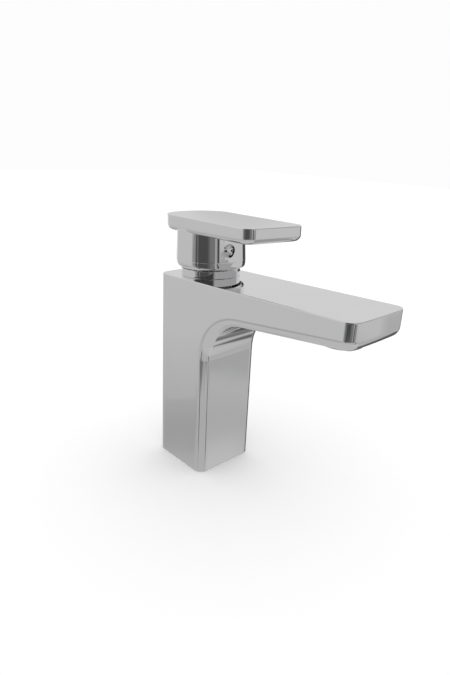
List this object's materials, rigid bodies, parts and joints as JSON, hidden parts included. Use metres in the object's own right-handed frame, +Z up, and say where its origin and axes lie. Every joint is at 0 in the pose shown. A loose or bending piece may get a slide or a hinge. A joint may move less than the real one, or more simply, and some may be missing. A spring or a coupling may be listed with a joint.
{
  "type": "single-lever basin mixer tap",
  "caption": "Chrome square-column basin mixer: flat sloping spout with aerator, hub and flat lever handle over a ceramic disc cartridge, hollow foot with hose inlets.",
  "frame": {"origin": "centre of the column's foot, on the face that rests on the basin", "axes": "+Z up, -Y along the spout towards its tip, +X across the spout"},
  "size_m": [0.0559, 0.1654, 0.1752],
  "materials": {
    "chrome_body": "polished chrome plate on cast brass",
    "chrome_handle": "polished chrome plate on cast metal",
    "chrome_trim": "polished chrome plate",
    "brass": "plain turned brass",
    "steel": "stainless steel",
    "ceramic": "lapped alumina ceramic",
    "cartridge_plastic": "moulded, light grey",
    "turret_plastic": "moulded, dark grey",
    "limit_plastic": "moulded, red",
    "aerator_plastic": "moulded, pale grey",
    "mark_plastic": "dark moulded dots",
    "rubber": "black"
  },
  "bodies": {
    "body": {"spout_body": "chrome_body", "inlet_block": "brass", "foot_gasket": "rubber", "cartridge_base": "cartridge_plastic", "inlet_seals": "rubber", "disc_seals": "rubber", "fixed_disc": "ceramic", "cartridge_housing": "cartridge_plastic", "housing_oring": "rubber", "temperature_limit_ring": "limit_plastic", "cartridge_nut": "brass", "collar": "chrome_trim", "collar_oring": "rubber", "aerator_housing": "chrome_trim", "aerator_insert": "aerator_plastic", "aerator_screen": "steel", "aerator_washer": "rubber"},
    "turret_group": {"turret": "turret_plastic", "pivot_pin": "steel"},
    "lever": {"lever_stem": "brass", "handle": "chrome_handle", "set_screw": "steel", "screw_cap": "chrome_trim", "index_marks": "mark_plastic"},
    "disc_group": {"disc_carrier": "turret_plastic", "moving_disc": "ceramic"}
  },
  "joints": [
    {"name": "mix", "type": "hinge", "parent": "body", "child": "turret_group", "pos_m": [0, -0.0012, 0.13445], "axis": [0, 0.041, 0.9992], "range_deg": [-34.7, 55.3]},
    {"name": "lift", "type": "hinge", "parent": "turret_group", "child": "lever", "pos_m": [0, -0.001, 0.13945], "axis": [-0.9839, 0.1787, -0.0073], "range_deg": [0, 17]},
    {"name": "disc_slide", "type": "slide", "parent": "turret_group", "child": "disc_group", "axis": [-0.1788, -0.9831, 0.0403], "range_m": [0, 0.0027]}
  ],
  "couplings": [
    {"joint": "disc_slide", "follows": "lift", "m_per_rad": 0.009}
  ]
}
